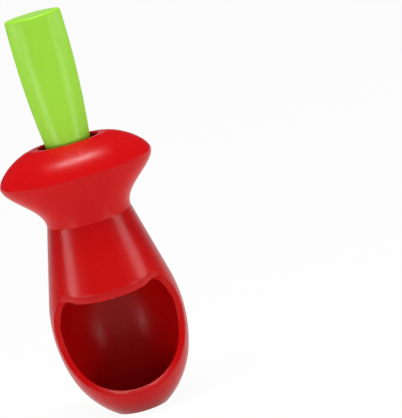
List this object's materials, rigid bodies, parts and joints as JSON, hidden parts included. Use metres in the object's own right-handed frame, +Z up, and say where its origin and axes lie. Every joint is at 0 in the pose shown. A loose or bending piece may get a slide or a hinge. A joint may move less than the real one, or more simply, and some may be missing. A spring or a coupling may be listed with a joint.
{
  "type": "cherry pitter",
  "caption": "Hand-held push-plunger cherry pitter: barrel with scooped fruit window, oval finger flange and sprung paddle stem.",
  "frame": {"origin": "centre of the flat foot, on the plunger's axis, where the tool stands on a table", "axes": "+Z up along the plunger's axis, the fruit window faces -Y, +X to the right seen from the window side"},
  "size_m": [0.067, 0.0547, 0.1774],
  "materials": {
    "shell_red": "satin moulded plastic",
    "collar_red": "satin moulded plastic",
    "stem_green": "satin moulded plastic",
    "natural_nylon": "moulded, natural colour",
    "tube_red": "moulded",
    "spring_steel": "drawn wire and stamped strip",
    "punch_steel": "bright turned rod",
    "silicone_red": "soft moulded ring",
    "silicone_white": "soft moulded ring"
  },
  "bodies": {
    "barrel": {"front_shell": "shell_red", "rear_shell": "shell_red", "collar_skirt": "collar_red", "collar_cap": "collar_red", "retaining_ring": "spring_steel", "guide_tube": "tube_red", "guide_bush": "natural_nylon", "wiper_ring": "silicone_white", "stripper_ring": "punch_steel", "seat_ring": "silicone_red", "lower_spring_washer": "spring_steel", "return_spring": "spring_steel"},
    "plunger": {"stem": "stem_green", "carriage": "natural_nylon", "cross_pin": "punch_steel", "punch": "punch_steel", "punch_clip": "spring_steel", "bumper_ring": "silicone_white", "upper_spring_washer": "spring_steel"}
  },
  "joints": [
    {"name": "plunger_slide", "type": "slide", "parent": "barrel", "child": "plunger", "axis": [0, 0, -1], "range_m": [0, 0.044], "stiffness_N_per_m": 230, "springref_m": -0.008, "deforming": ["return_spring"]}
  ]
}
